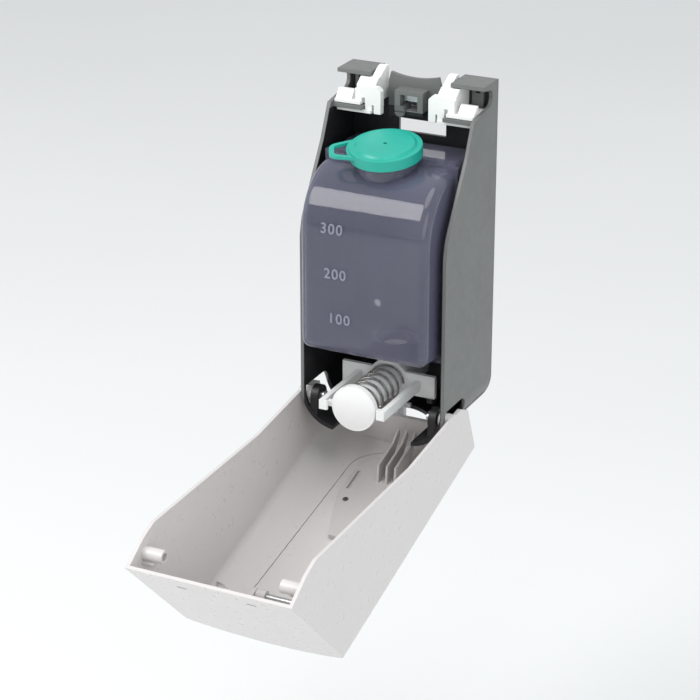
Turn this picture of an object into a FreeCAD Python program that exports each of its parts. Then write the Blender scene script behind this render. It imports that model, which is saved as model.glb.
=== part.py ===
import FreeCAD, Part
import Sketcher
import math
import os
import re

# A wall mounted soap dispenser with its cover swung open on its stop.
# Row frame: +Z up, +X to the right seen from the front, the wall is the plane Y = 0 and the
# dispenser stands out of it towards -Y. The origin is on the wall face, on the centre line,
# in the middle of the four wall screw holes.

doc = FreeCAD.newDocument("SoapDispenser")
sizes = doc.addObject("Spreadsheet::Sheet", "Sizes")

SIZES = [
    # overall
    ("top_level", 90.0, "height of the housing's top above the origin"),
    ("housing_width", 80.0, "outside width of the back housing"),
    ("housing_height", 178.4, "height of the back housing"),
    ("housing_depth", 60.0, "depth of the side walls from the wall to the front rim"),
    ("housing_wall", 2.0, "thickness of the housing's walls"),
    ("housing_corner", 20.0, "radius of the housing's two bottom corners"),
    # housing's side walls: where their front edge steps back, measured from the top and the wall
    ("brow_depth", 29.0, "depth of the side wall at the latch shelf"),
    ("brow_drop", 14.6, "drop of that point below the top"),
    ("neck_depth", 36.5, "depth of the side wall above its slope"),
    ("neck_drop", 31.0, "drop of that point"),
    ("slope_depth", 58.0, "depth of the side wall below its slope"),
    ("slope_drop", 66.0, "drop of that point"),
    ("edge_bend", 20.0, "radius of the bends in the side wall's front edge"),
    ("notch_radius", 4.4, "radius of the notch that takes a cover boss"),
    ("notch_depth", 11.4, "distance of the notch's centre from the wall"),
    ("notch_drop", 7.4, "drop of the notch's centre below the top"),
    # top flanges, posts and latch shelves
    ("flange_width", 18.0, "width of each top flange"),
    ("flange_depth", 17.7, "depth of each top flange"),
    ("flange_thick", 2.0, "thickness of each top flange"),
    ("shelf_depth", 27.0, "distance of the latch shelf's front edge from the wall"),
    ("shelf_drop", 15.2, "drop of the shelf's upper face below the top"),
    ("shelf_thick", 2.0, "thickness of the shelf"),
    ("post_width", 6.0, "width of the post under each flange"),
    ("post_front", 7.2, "distance of the post's front from the wall"),
    ("post_hole", 2.4, "side of the square hole in the post"),
    # centre panel with its square boss
    ("panel_half_width", 14.2, "half the width of the centre panel"),
    ("panel_shoulder", 4.5, "drop of the centre panel's shoulders"),
    ("panel_front", 12.0, "distance of the centre panel's front from the wall"),
    ("panel_thick", 2.0, "thickness of the centre panel"),
    ("panel_drop", 23.0, "drop of the centre panel's lower edge"),
    ("panel_peak", 13.0, "distance of the panel's two peaks from the centre line"),
    ("scoop_drop", 1.8, "depth of the scoop between the peaks"),
    ("boss_side", 15.4, "width of the square boss"),
    ("boss_top_drop", 6.9, "drop of the square boss's upper side"),
    ("boss_height", 12.2, "height of the square boss"),
    ("boss_front", 19.0, "distance of the square boss's front from the wall"),
    ("window_width", 9.4, "width of the window through the square boss"),
    ("window_height", 7.8, "height of the window"),
    ("window_top_drop", 9.0, "drop of the window's upper side"),
    # openings in the back wall
    ("back_slot_width", 26.0, "width of the opening through the back wall"),
    ("back_slot_drop", 26.0, "drop of that opening's upper side"),
    ("back_slot_height", 7.4, "height of that opening"),
    ("screw_spacing_x", 50.0, "distance between the wall screw holes, side to side"),
    ("screw_spacing_z", 80.0, "distance between the wall screw holes, up and down"),
    ("screw_hole_radius", 2.3, "radius of the wall screw holes"),
    # outlet in the floor
    ("outlet_half_width", 22.0, "half the width of the outlet at the front rim"),
    ("outlet_back", 18.0, "distance of the outlet's back edge from the wall"),
    # hinge
    ("hinge_depth", 54.0, "distance of the hinge axis from the wall"),
    ("hinge_drop", 163.0, "drop of the hinge axis below the top"),
    ("recess_back", 33.0, "distance of the hinge window's back from the wall"),
    ("recess_top_drop", 157.3, "drop of the hinge window's round top"),
    ("recess_low_drop", 176.0, "drop of the hinge window's lower side"),
    ("recess_round", 6.0, "radius of the hinge window's upper corners"),
    ("hinge_pin_radius", 1.5, "radius of the hinge pins"),
    ("hinge_pin_head", 2.8, "radius of the hinge pins' heads"),
    ("hinge_boss_radius", 3.6, "radius of the cover's hinge bosses"),
    ("hinge_fit", 0.05, "radial clearance of the pins in the cover's bosses"),
    ("lug_inner", 31.0, "distance of the hinge lug's inner face from the centre line"),
    ("lug_thick", 4.0, "thickness of the hinge lugs in the housing"),
    ("lug_radius", 5.5, "radius of the hinge lug's round top"),
    ("side_gap", 0.6, "sideways gap between the lugs and the cover's bosses"),
    ("open_angle", 111.5, "angle that the cover swings open from closed"),
    # cover
    ("cover_width", 86.0, "outside width of the cover"),
    ("cover_wall", 1.8, "thickness of the cover's walls"),
    ("cover_front", 90.5, "distance of the cover's front corners from the wall at the bottom, closed"),
    ("cover_front_top", 76.7, "distance of the front corners from the wall at the top panel, closed"),
    ("cover_bow", 8.0, "how far the middle of the cover's front stands out"),
    ("cover_edge", 6.0, "radius of the cover's front edges"),
    ("cover_top_back", 7.2, "distance of the cover's top rear edge from the wall, closed"),
    ("cover_top_drop", -7.0, "drop of that edge below the housing's top"),
    ("cover_top_fall", 30.3, "how far the cover's top falls towards the front edges"),
    ("cover_bottom_drop", 179.2, "drop of the cover's lowest edge"),
    ("cover_bottom_rise", 0.3, "how far the cover's bottom rises towards the wall"),
    ("rim_top_depth", 4.0, "distance of the cover's rim from the wall near its top"),
    ("rim_top_drop", 10.0, "drop of that point"),
    ("rim_high_drop", 20.0, "drop where the rim turns forward"),
    ("rim_mid_depth", 39.4, "distance of the rim from the wall at mid height"),
    ("rim_mid_drop", 115.0, "drop of that point"),
    ("rim_low_depth", 54.0, "distance of the rim from the wall beside the hinge"),
    ("rim_low_drop", 172.0, "drop of that point"),
    ("bottom_depth", 61.1, "distance of the cover's bottom rim from the wall"),
    ("rim_bend", 9.0, "radius of the rim's tight bends"),
    ("recess_front", 58.2, "distance of the hinge recess's front from the wall"),
    ("tongue_half_width", 19.0, "half the width of the bottom's middle tongue"),
    ("tongue_depth", 74.5, "distance of the tongue's edge from the wall, closed"),
    ("bottom_cut_depth", 77.8, "distance of the bottom's edge beside the tongue"),
    ("catch_depth", 11.4, "distance of the catch bosses from the wall, closed"),
    ("catch_drop", 7.4, "drop of the catch bosses below the top"),
    ("catch_radius", 3.3, "radius of the cover's catch bosses"),
    ("catch_bore", 2.0, "radius of the hollow in the catch bosses"),
    ("catch_length", 10.6, "length of the catch bosses"),
    ("catch_web", 1.6, "thickness of the web above each catch boss"),
    ("key_slot_x", 18.0, "distance of the key slots from the centre line"),
    ("key_slot_width", 5.0, "length of the key slots"),
    ("key_slot_high", 1.6, "height of the key slots"),
    ("key_slot_inset", 11.8, "distance of the key slots from the cover's top rear edge"),
    # push panel in the cover's front, measured closed
    ("panel_top_drop", 42.0, "drop of the push panel's upper end"),
    ("panel_top_half", 24.0, "half the width of the push panel at its upper end"),
    ("panel_low_drop", 152.0, "drop where the push panel's round lower end starts"),
    ("panel_low_half", 18.0, "half the width of the push panel there, and its end's radius"),
    ("panel_slit", 0.4, "gap around the push panel"),
    ("panel_pin_radius", 1.5, "radius of the push panel's pivot pin"),
    ("panel_pin_drop", 48.0, "drop of the pivot pin"),
    ("panel_pin_inset", 0.5, "distance of the pivot pin behind the front corners"),
    ("knuckle_radius", 3.0, "radius of the panel's pivot knuckles"),
    ("knuckle_x", 12.0, "distance of the knuckles from the centre line"),
    ("knuckle_length", 5.0, "length of each knuckle"),
    ("ear_thick", 3.0, "thickness of the cover's ears beside the knuckles"),
    ("plate_half_width", 13.0, "half the width of the press plate"),
    ("plate_top_drop", 101.0, "drop of the press plate's upper end"),
    ("plate_bottom_drop", 164.0, "drop of the press plate's lower end before its round"),
    ("plate_thick", 3.0, "how far the press plate stands off the inside of the panel"),
    ("plate_screw_x", -7.8, "distance of the press plate's screw from the centre line"),
    ("plate_screw_drop", 128.0, "drop of the press plate's screw"),
    ("plate_screw_radius", 1.6, "radius of the press plate's screw head"),
    ("fin_first_x", 2.0, "distance of the first fin from the centre line"),
    ("fin_pitch", 4.8, "distance between the fins"),
    ("fin_thick", 1.2, "thickness of the fins"),
    ("fin_reach", 5.7, "how far the fins reach behind the front corners"),
    ("fin_top_drop", 144.0, "drop of the fins' upper ends"),
    ("fin_bend_drop", 166.0, "drop where the fins start to reach further in"),
    ("fin_low_drop", 174.0, "drop of the fins' lower ends"),
    ("fin_low_reach", 9.0, "how far the fins' lower ends reach behind the front corners"),
    # bottle
    ("bottle_half_width", 34.5, "half the bottle's width"),
    ("bottle_back", 5.0, "distance of the bottle's back from the wall"),
    ("bottle_seam", 38.0, "distance of the bottle's welded seam from the wall"),
    ("bottle_front", 72.0, "distance of the bottle's front from the wall"),
    ("bottle_top_drop", 35.0, "drop of the bottle's top where it starts to fall"),
    ("bottle_rear_drop", 37.0, "drop of the bottle's top at its back"),
    ("bottle_level", 30.0, "distance from the wall where the bottle's top starts to fall"),
    ("bottle_brow_drop", 42.25, "drop of the bottle's upper front edge before rounding"),
    ("bottle_front_drop", 130.0, "drop of the bottle's lower front edge"),
    ("bottle_low_drop", 139.0, "drop of the bottle's bottom at its lowest"),
    ("bottle_wall", 1.4, "thickness of the bottle's wall"),
    ("bottle_round", 30.0, "radius of the bottle's upper front edge"),
    ("bottle_foot", 5.0, "radius of the bottle's lower edges"),
    ("seam_lip", 1.6, "how far the welded lip stands out of the bottle's side"),
    ("seam_thick", 1.2, "thickness of each half of the welded lip"),
    ("neck_radius", 15.0, "outside radius of the bottle's neck"),
    ("neck_height", 8.2, "height of the neck above the bottle's sloping top"),
    ("neck_root", 4.0, "how far the neck reaches down into the bottle's shoulder"),
    ("neck_depth_from_wall", 43.5, "distance of the neck's centre from the wall"),
    # cap
    ("tab_angle", 26.0, "angle of the pull tab, turned towards the front"),
    ("cap_radius", 18.2, "radius of the cap"),
    ("cap_height", 5.4, "height of the cap's rim"),
    ("cap_step", 1.2, "height of the cap's raised disc"),
    ("cap_disc_radius", 15.6, "radius of the cap's raised disc"),
    ("cap_wall", 1.4, "thickness of the cap"),
    ("cap_vent_radius", 0.9, "radius of the cap's vent"),
    ("cap_gap", 0.4, "gap between the cap's skirt and the neck"),
    ("tab_length", 9.6, "how far the pull tab reaches past the cap"),
    ("tab_base_half", 12.0, "half the width of the pull tab where it leaves the cap"),
    ("tab_tip_half", 6.0, "half the width of the pull tab at its tip"),
    ("tab_round", 5.0, "radius of the pull tab's tip corners"),
    ("tab_thick", 1.6, "thickness of the pull tab"),
    ("tab_band", 2.6, "width of the band around the tab's finger hole"),
    ("gasket_thick", 1.0, "thickness of the cap's sealing ring"),
    # outlet well and pump
    ("pump_drop", 153.8, "drop of the pump's axis below the top"),
    ("well_depth", 32.0, "distance of the outlet well's axis from the wall"),
    ("well_radius", 12.4, "outside radius of the bottle's outlet well"),
    ("well_bore", 8.0, "radius of the bottle's outlet"),
    ("well_ring_drop", 134.0, "drop of the ring around the outlet, inside the bottle"),
    ("socket_radius", 7.4, "outside radius of the pump's inlet socket"),
    ("outlet_drop", 141.0, "drop of the outlet well's lower face"),
    ("seal_thick", 1.0, "thickness of the rubber ring below the outlet well"),
    ("seal_radius", 10.5, "outside radius of that ring"),
    ("chamber_radius", 10.0, "outside radius of the pump chamber"),
    ("chamber_back", 12.0, "distance of the pump chamber's closed end from the wall"),
    ("chamber_front", 38.0, "distance of the pump chamber's open end from the wall"),
    ("plunger_radius", 7.6, "radius of the plunger"),
    ("plunger_fit", 0.08, "radial clearance of the plunger in the chamber"),
    ("plunger_entry", 6.0, "how far the plunger stands in the chamber at rest"),
    ("bracket_thick", 2.4, "thickness of the bracket's cross plate"),
    ("bracket_half_width", 26.0, "half the width of the bracket's cross plate"),
    ("bracket_half_height", 6.0, "half the height of the bracket's wings"),
    ("arm_x", 16.6, "distance of the bracket's arms from the centre line"),
    ("arm_thick", 2.8, "thickness of the bracket's arms"),
    ("arm_high", 5.0, "height of the bracket's arms"),
    ("arm_front", 83.0, "distance of the arms' front ends from the wall"),
    ("arm_hook", 1.6, "how far the arms' front hooks reach inwards"),
    ("button_radius", 12.0, "radius of the push button"),
    ("button_thick", 3.0, "thickness of the push button"),
    ("button_front", 80.5, "distance of the button's face from the wall"),
    ("button_dome", 1.2, "how far the button's face is domed"),
    ("spring_radius", 8.9, "mean radius of the return spring"),
    ("spring_wire", 0.55, "radius of the spring's wire"),
    ("spring_turns", 6.0, "turns of the return spring"),
    ("collar_radius", 4.6, "outside radius of the collar that holds the nozzle"),
    ("inlet_ball_radius", 2.6, "radius of the steel inlet ball"),
    ("lug_reach", 2.8, "how far the button's side lugs stand out"),
    ("nozzle_depth", 25.4, "distance of the nozzle's axis from the wall"),
    ("nozzle_radius", 3.2, "outside radius of the nozzle"),
    ("nozzle_bore", 1.6, "radius of the nozzle's bore"),
    ("nozzle_tip_drop", 182.4, "drop of the nozzle's tip"),
    ("nozzle_top_drop", 163.0, "drop of the nozzle's upper end"),
    # latches
    ("latch_gap", 0.3, "gap between a latch and the shelf it slides on"),
    ("wedge_inner", 29.0, "distance of the wedge's inner side from the centre line"),
    ("wedge_outer", 37.6, "distance of the wedge's outer side from the centre line"),
    ("wedge_front", 26.0, "distance of the wedge's toe from the wall"),
    ("wedge_back", 19.0, "distance of the wedge's back from the wall"),
    ("wedge_top_drop", 9.0, "drop of the wedge's crest"),
    ("arm_inner", 17.0, "distance of the latch arm's inner side from the centre line"),
    ("arm_outer", 27.0, "distance of the latch arm's outer side from the centre line"),
    ("arm_face", 24.0, "distance of the latch arm's front from the wall"),
    ("arm_rear", 6.0, "distance of the latch arm's rear from the wall"),
    ("arm_brow_drop", 5.6, "drop of the latch arm's front brow"),
    ("hook_outer", 21.4, "distance of the hook's outer side from the centre line"),
    ("hook_rise", 1.5, "height of the hook above the housing's top"),
    ("prong_inner", 13.0, "distance of the inner prong from the centre line"),
    ("prong_outer", 21.6, "distance of the outer prong's outer side"),
    ("prong_slit", 1.0, "width of the slit between the prongs"),
    ("leg_inner", 23.4, "distance of the standing leg's inner side from the centre line"),
    ("latch_back", 9.4, "distance of the latch's base and foot from the wall"),
    ("wedge_crest", 21.0, "distance of the wedge's crest from the wall"),
    ("latch_base", 1.6, "thickness of the latch's base plate"),
    ("prong_drop", 19.2, "drop of the prongs' ends"),
    ("prong_thick", 3.6, "thickness of the prongs"),
    ("foot_thick", 1.6, "thickness of the foot under the shelf"),
    # wall hook behind the window
    ("hook_plate_thick", 1.2, "thickness of the steel wall hook"),
    ("hook_plate_half", 8.0, "half the width of the wall hook"),
    ("hook_screw_radius", 2.7, "radius of the hook screw's head"),
    ("hook_screw_x", -4.3, "distance of the hook screw from the centre line"),
    ("hook_screw_drop", 17.4, "drop of the hook screw"),
]

for row, (alias, value, words) in enumerate(SIZES, start=1):
    sizes.set("A%d" % row, words)
    sizes.set("B%d" % row, "%g" % value)
    sizes.setAlias("B%d" % row, alias)
doc.recompute()

ALIASES = sorted((alias for alias, value, words in SIZES), key=len, reverse=True)
ALIAS_PATTERN = re.compile(r"\b(%s)\b" % "|".join(ALIASES))


def size(alias):
    """A driving size in millimetres."""
    return float(getattr(sizes, alias))


def linked(text):
    """An expression in the aliases, written as the document reads it."""
    return ALIAS_PATTERN.sub(r"Sizes.\1", str(text))


def value(text):
    """The number that an expression in the aliases gives."""
    return float(sizes.evalExpression(linked(text)))


def bind(thing, prop, text):
    thing.setExpression(prop, linked(text))


def block(name, across, deep, high):
    """A box between two X, two Y and two Z places."""
    thing = doc.addObject("Part::Box", name)
    for prop, axis, span in (("Length", "x", across), ("Width", "y", deep), ("Height", "z", high)):
        bind(thing, prop, "(%s) - (%s)" % (span[1], span[0]))
        bind(thing, "Placement.Base.%s" % axis, span[0])
    return thing


TURNS = {
    "x": FreeCAD.Rotation(FreeCAD.Vector(0, 1, 0), 90),
    "y": FreeCAD.Rotation(FreeCAD.Vector(1, 0, 0), -90),
    "z": FreeCAD.Rotation(),
}


def rod(name, axis, start, radius, length):
    """A cylinder from start along +X, +Y or +Z."""
    thing = doc.addObject("Part::Cylinder", name)
    thing.Placement = FreeCAD.Placement(FreeCAD.Vector(), TURNS[axis])
    bind(thing, "Radius", radius)
    bind(thing, "Height", length)
    for letter, text in zip("xyz", start):
        bind(thing, "Placement.Base.%s" % letter, text)
    return thing


def outline(sketch, points, bow):
    """A closed outline through the points. bow is (side, x, y): that side is an arc through x, y."""
    rough = [(value(across), value(along)) for across, along in points]
    count = len(points)
    for side, place in enumerate(rough):
        first = FreeCAD.Vector(place[0], place[1], 0)
        last = FreeCAD.Vector(*rough[(side + 1) % count], 0)
        if bow and bow[0] == side:
            middle = FreeCAD.Vector(value(bow[1]), value(bow[2]), 0)
            sketch.addGeometry(Part.Arc(first, middle, last), False)
        else:
            sketch.addGeometry(Part.LineSegment(first, last), False)
    ends = [(1, 2)] * count
    if bow:
        start = sketch.Geometry[bow[0]].StartPoint
        if start.distanceToPoint(FreeCAD.Vector(*rough[bow[0]], 0)) > 1e-6:
            ends[bow[0]] = (2, 1)
    for side in range(count):
        after = (side + 1) % count
        sketch.addConstraint(Sketcher.Constraint("Coincident", side, ends[side][1], after, ends[after][0]))
    for side, point in enumerate(points):
        for kind, text, guess in zip(("DistanceX", "DistanceY"), point, rough[side]):
            place = sketch.addConstraint(Sketcher.Constraint(kind, -1, 1, side, ends[side][0], guess))
            sketch.setExpression("Constraints[%d]" % place, linked(text))
    if bow:
        first, last = points[bow[0]], points[(bow[0] + 1) % count]
        half = "(abs((%s) - (%s)) / 2)" % (last[0], first[0])
        sag = "abs((%s) - (%s))" % (bow[2], first[1])
        text = "(%s ^ 2 + %s ^ 2) / (2 * %s)" % (half, sag, sag)
        place = sketch.addConstraint(Sketcher.Constraint("Radius", bow[0], value(text)))
        sketch.setExpression("Constraints[%d]" % place, linked(text))


PLANES = {"yz": "YZ_Plane", "xz": "XZ_Plane", "xy": "XY_Plane"}


def prism(name, plane, points, span, bow=None):
    """A body padded from an outline in the plane yz, xz or xy, over a span of the third axis."""
    body = doc.addObject("PartDesign::Body", name)
    base = [item for item in body.Origin.OriginFeatures if item.Role == PLANES[plane]][0]
    sketch = body.newObject("Sketcher::SketchObject", name + "_outline")
    sketch.AttachmentSupport = [(base, "")]
    sketch.MapMode = "FlatFace"
    bind(sketch, "AttachmentOffset.Base.z", "-(%s)" % span[1] if plane == "xz" else span[0])
    outline(sketch, points, bow)
    pad = body.newObject("PartDesign::Pad", name + "_pad")
    pad.Profile = sketch
    bind(pad, "Length", "(%s) - (%s)" % (span[1], span[0]))
    body.Tip = pad
    doc.recompute()
    return body


def rounded(body, radius, axis, places):
    """Round the edges of a body along one axis that pass through the places, given in the other two."""
    others = [index for index in range(3) if index != "xyz".index(axis)]
    wanted = [(value(first), value(second)) for first, second in places]
    names = []
    for number, edge in enumerate(body.Tip.Shape.Edges, start=1):
        ends = [vertex.Point for vertex in edge.Vertexes]
        for first, second in wanted:
            near = [abs(end[others[0]] - first) + abs(end[others[1]] - second) < 0.01 for end in ends]
            if len(ends) == 2 and all(near):
                names.append("Edge%d" % number)
    base = body.Tip
    fillet = body.newObject("PartDesign::Fillet", "%s_round%d" % (body.Name, len(body.Group)))
    fillet.Base = (base, names)
    bind(fillet, "Radius", radius)
    body.Tip = fillet
    doc.recompute()
    return body


def fused(name, pieces):
    thing = doc.addObject("Part::MultiFuse", name)
    thing.Shapes = pieces
    thing.Refine = True
    return thing


def common(name, base, tool):
    thing = doc.addObject("Part::Common", name)
    thing.Base = base
    thing.Tool = tool
    return thing


def cut(name, base, tools):
    """The base without the tools, one after another."""
    for number, tool in enumerate(tools, start=1):
        last = number == len(tools)
        thing = doc.addObject("Part::Cut", name if last else "%s_step%d" % (name, number))
        thing.Base = base
        thing.Tool = tool
        base = thing
    return base


def mirrored(name, source):
    """The same piece on the other side of the centre plane."""
    thing = doc.addObject("Part::Mirroring", name)
    thing.Source = source
    thing.Normal = FreeCAD.Vector(1, 0, 0)
    return thing


def both_sides(name, source):
    return [source, mirrored(name, source)]


NODES = {}


def grouped(name, thing):
    """The same piece with a placement of its own."""
    group = doc.addObject("Part::Compound", name)
    group.Links = [thing]
    return group


def node(name, thing):
    """Names a finished sub-part."""
    thing.Label = name
    NODES[name] = thing
    return thing


def below(text):
    """A height given as a drop below the housing's top."""
    return "top_level - (%s)" % text


def closed(depth, drop):
    """A place on the closed cover, in the cover's own frame about the hinge axis."""
    return ("hinge_depth - (%s)" % depth, "hinge_drop - (%s)" % drop)


def swung(thing):
    """Puts a piece of the cover on the hinge and swings it open."""
    thing.Placement = FreeCAD.Placement(FreeCAD.Vector(), FreeCAD.Rotation(FreeCAD.Vector(1, 0, 0), 1))
    bind(thing, "Placement.Base.y", "-hinge_depth")
    bind(thing, "Placement.Base.z", below("hinge_drop"))
    bind(thing, "Placement.Rotation.Angle", "open_angle")
    return thing


def up_front(drop):
    """A height along the cover's front, given as a closed drop."""
    return "cover_bottom_drop - (%s)" % drop


def on_front(thing):
    """Puts a piece made upright on the cover's leaning front, in the cover's own frame."""
    thing.Placement = FreeCAD.Placement(FreeCAD.Vector(), FreeCAD.Rotation(FreeCAD.Vector(1, 0, 0), 1))
    rise = "(cover_bottom_drop - cover_top_drop - cover_top_fall)"
    bind(thing, "Placement.Base.y", "hinge_depth - cover_front")
    bind(thing, "Placement.Base.z", "hinge_drop - cover_bottom_drop")
    bind(thing, "Placement.Rotation.Angle", "atan((cover_front_top - cover_front) / %s)" % rise)
    return thing


BOTTLE_LEAN = "atan((bottle_brow_drop - bottle_top_drop) / (bottle_front - bottle_level))"


def leaning(thing):
    """Puts a piece of the neck or cap on the bottle's sloping top."""
    thing.Placement = FreeCAD.Placement(FreeCAD.Vector(), FreeCAD.Rotation(FreeCAD.Vector(1, 0, 0), 1))
    slope = "(bottle_brow_drop - bottle_top_drop) / (bottle_front - bottle_level)"
    bind(thing, "Placement.Base.y", "-neck_depth_from_wall")
    bind(thing, "Placement.Base.z", below("bottle_top_drop + (neck_depth_from_wall - bottle_level) * " + slope))
    bind(thing, "Placement.Rotation.Angle", BOTTLE_LEAN)
    return thing


# ---------------------------------------------------------------- housing

def make_housing():
    half = "housing_width / 2"
    floor = below("housing_height")
    block_body = prism(
        "housing_block", "xz",
        [("-" + half, floor), (half, floor), (half, "top_level"), ("-" + half, "top_level")],
        ("-housing_depth", "0"))
    rounded(block_body, "housing_corner", "y", [("-" + half, floor), (half, floor)])
    inner = "(housing_width / 2 - housing_wall)"
    inner_floor = "top_level - housing_height + housing_wall"
    hollow = prism(
        "housing_hollow", "xz",
        [("-" + inner, inner_floor), (inner, inner_floor), (inner, "top_level + 1"), ("-" + inner, "top_level + 1")],
        ("-housing_depth - 1", "-housing_wall"))
    rounded(hollow, "housing_corner - housing_wall", "y", [("-" + inner, inner_floor), (inner, inner_floor)])

    neck = ("-neck_depth", below("neck_drop"))
    slope = ("-slope_depth", below("slope_drop"))
    brow = prism(
        "housing_brow", "yz",
        [
            ("-housing_depth - 1", "top_level + 5"),
            ("-flange_depth", "top_level + 5"),
            ("-flange_depth", below("flange_thick")),
            ("-notch_depth", below("notch_drop - notch_radius")),
            ("-notch_depth", below("notch_drop + notch_radius")),
            ("-brow_depth", below("brow_drop")),
            neck,
            slope,
            ("-housing_depth - 1", below("slope_drop + 14")),
        ],
        ("-housing_width / 2 - 1", "housing_width / 2 + 1"))
    rounded(brow, "edge_bend", "x", [neck, slope])
    notch = rod("housing_notch", "x", ("-housing_width / 2 - 1", "-notch_depth", below("notch_drop")),
                "notch_radius", "housing_width + 2")
    gap = "(housing_width / 2 - flange_width)"
    top_gap = block("housing_top_gap", ("-" + gap, gap), ("-housing_wall - 1", "1"), (below("8"), "top_level + 1"))
    hook_gap = block("housing_hook_gap", ("-hook_plate_half", "hook_plate_half"), ("-housing_wall - 1", "1"),
                     (below("panel_drop - 1"), below("7")))
    shell = cut("housing_shell", block_body, [hollow, brow, notch, top_gap, hook_gap])

    flange = block("flange", (gap, half), ("-flange_depth", "0"), (below("flange_thick"), "top_level"))
    shelf = block("latch_shelf", (gap, inner + " + housing_wall / 2"), ("-shelf_depth", "-housing_wall / 2"),
                  (below("shelf_drop + shelf_thick"), below("shelf_drop")))
    post_start = "(housing_width / 2 - 11)"
    post = block("post", (post_start, post_start + " + post_width"), ("-post_front", "-post_front + 2"),
                 (below("shelf_drop + shelf_thick / 2"), below("flange_thick / 2")))
    hole_start = post_start + " + post_width / 2 - post_hole / 2"
    post_hole = block("post_hole_cut", (hole_start, hole_start + " + post_hole"), ("-post_front - 1", "-post_front + 3"),
                      (below("6.5"), below("6.5 - post_hole")))
    drilled_post = cut("drilled_post", post, [post_hole])
    lug_tube = rod("hinge_lug_top", "x", ("lug_inner", "-hinge_depth", below("hinge_drop")), "lug_radius", "lug_thick")
    lug_foot = block("hinge_lug_foot", ("lug_inner", "lug_inner + lug_thick"),
                     ("-hinge_depth - lug_radius", "-hinge_depth + lug_radius"), (floor, below("hinge_drop")))
    lug = common("hinge_lug", fused("hinge_lug_whole", [lug_tube, lug_foot]), block_body)
    rail = ("bracket_half_width - 3.5", "bracket_half_width - 0.5")
    ledge = block("pump_ledge", rail, ("-chamber_front - bracket_thick - 1.6", "-housing_wall / 2"),
                  (below("pump_drop + bracket_half_height + 2"), below("pump_drop + bracket_half_height")))
    stop = block("pump_stop", rail, ("-chamber_front", "-chamber_front + 1.6"),
                 (below("pump_drop + bracket_half_height + 1"), below("pump_drop - bracket_half_height")))
    sides = []
    for name, piece in (("flange", flange), ("shelf", shelf), ("post", drilled_post), ("lug", lug),
                        ("ledge", ledge), ("stop", stop)):
        sides += both_sides(name + "_left", piece)

    panel = prism(
        "centre_panel", "xz",
        [
            ("panel_half_width", below("panel_drop")),
            ("-panel_half_width", below("panel_drop")),
            ("-panel_half_width", below("panel_shoulder")),
            ("-panel_peak", "top_level"),
            ("panel_peak", "top_level"),
            ("panel_half_width", below("panel_shoulder")),
        ],
        ("-panel_front", "-panel_front + panel_thick"), bow=(3, "0", below("scoop_drop")))
    rib = block("panel_rib", ("panel_half_width - panel_thick", "panel_half_width"),
                ("-panel_front + panel_thick / 2", "-housing_wall / 2"), (below("panel_drop"), below("9")))
    boss = block("square_boss", ("-boss_side / 2", "boss_side / 2"), ("-boss_front", "-panel_front + 1"),
                 (below("boss_top_drop + boss_height"), below("boss_top_drop")))
    window = block("window", ("-window_width / 2", "window_width / 2"), ("-boss_front - 1", "-panel_front + 3"),
                   (below("window_top_drop + window_height"), below("window_top_drop")))
    screw_way = rod("hook_screw_way", "y", ("hook_screw_x", "-boss_front - 1", below("hook_screw_drop")),
                    "hook_screw_radius", "boss_front - panel_front + 4")
    whole = fused("housing_whole", [shell, panel, boss] + sides + both_sides("rib_left", rib))

    back_slot = block("back_slot", ("-back_slot_width / 2", "back_slot_width / 2"), ("-housing_wall - 1", "1"),
                      (below("back_slot_drop + back_slot_height"), below("back_slot_drop")))
    holes = []
    for across in (-1, 1):
        for high in (-1, 1):
            name = "screw_hole_%s_%s" % ("left" if across < 0 else "right", "low" if high < 0 else "high")
            place = ("%d * screw_spacing_x / 2" % across, "-housing_wall - 1", "%d * screw_spacing_z / 2" % high)
            holes.append(rod(name, "y", place, "screw_hole_radius", "housing_wall + 2"))
    outlet_bed = block("outlet_front", ("-outlet_half_width", "outlet_half_width"),
                       ("-housing_depth - 1", "-outlet_back - outlet_half_width"), (floor + " - 1", inner_floor + " + 1"))
    outlet_end = rod("outlet_end", "z", ("0", "-outlet_back - outlet_half_width", floor + " - 1"),
                     "outlet_half_width", "housing_wall + 2")
    recess_low, recess_top = below("recess_low_drop"), below("recess_top_drop")
    recess = prism(
        "hinge_window", "yz",
        [
            ("-recess_front", recess_low),
            ("-recess_back", recess_low),
            ("-recess_back", recess_top),
            ("-recess_front", recess_top),
        ],
        ("lug_inner + lug_thick", "housing_width / 2 + 1"))
    rounded(recess, "recess_round", "x", [("-recess_back", recess_top)])
    pin_hole = rod("lug_hole", "x", ("lug_inner - 1", "-hinge_depth", below("hinge_drop")),
                   "hinge_pin_radius", "lug_thick + 2")
    tools = [window, screw_way, back_slot] + holes + [outlet_bed, outlet_end]
    tools += both_sides("recess_left", recess) + both_sides("lug_hole_left", pin_hole)
    node("housing", cut("housing", whole, tools))


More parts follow.
